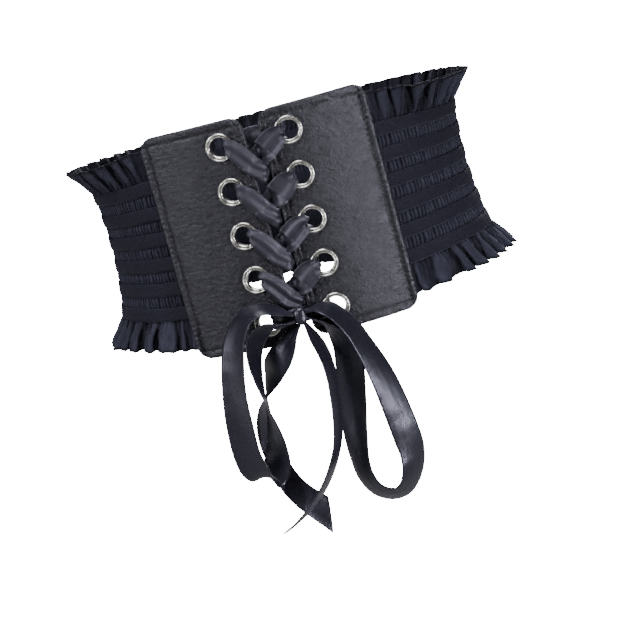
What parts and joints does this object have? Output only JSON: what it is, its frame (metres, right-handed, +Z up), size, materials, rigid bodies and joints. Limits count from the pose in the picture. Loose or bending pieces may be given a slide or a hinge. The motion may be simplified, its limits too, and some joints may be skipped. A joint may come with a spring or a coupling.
{
  "type": "wide elastic waist belt",
  "caption": "Wide elastic waist belt: two stiff leather front panels laced through metal eyelets by a satin ribbon with a hanging bow, and a ruffled, gathered elastic band behind.",
  "frame": {"origin": "centre of the waist hollow at half the height of the front panels", "axes": "+Z up along the belt's axis, -Y out of the laced front, +X to the right of someone who looks at the front"},
  "size_m": [0.2722, 0.2173, 0.2607],
  "materials": {
    "leather": "fine-grained black leather with a soft sheen",
    "eyelet_metal": "polished nickel",
    "elastic_tape": "black ribbed elastic",
    "gathered_cloth": "black matt crepe cloth",
    "satin_ribbon": "black satin with a soft sheen"
  },
  "bodies": {
    "root": {"panel_left": "leather", "panel_right": "leather", "eyelet_left_1": "eyelet_metal", "eyelet_left_2": "eyelet_metal", "eyelet_left_3": "eyelet_metal", "eyelet_left_4": "eyelet_metal", "eyelet_left_5": "eyelet_metal", "eyelet_right_1": "eyelet_metal", "eyelet_right_2": "eyelet_metal", "eyelet_right_3": "eyelet_metal", "eyelet_right_4": "eyelet_metal", "eyelet_right_5": "eyelet_metal", "elastic_tape_1": "elastic_tape", "elastic_tape_2": "elastic_tape", "elastic_tape_3": "elastic_tape", "elastic_tape_4": "elastic_tape", "elastic_tape_5": "elastic_tape", "elastic_tape_6": "elastic_tape", "gathered_cloth": "gathered_cloth", "ruffle_top": "gathered_cloth", "ruffle_bottom": "gathered_cloth", "lace_left_to_right_1": "satin_ribbon", "lace_left_to_right_2": "satin_ribbon", "lace_left_to_right_3": "satin_ribbon", "lace_left_to_right_4": "satin_ribbon", "lace_right_to_left_1": "satin_ribbon", "lace_right_to_left_2": "satin_ribbon", "lace_right_to_left_3": "satin_ribbon", "lace_right_to_left_4": "satin_ribbon", "lace_bar": "satin_ribbon", "lace_end_left": "satin_ribbon", "lace_end_right": "satin_ribbon", "bow_knot": "satin_ribbon", "bow_loop_left": "satin_ribbon", "bow_loop_right": "satin_ribbon", "bow_tail_left": "satin_ribbon", "bow_tail_right": "satin_ribbon"}
  },
  "joints": []
}
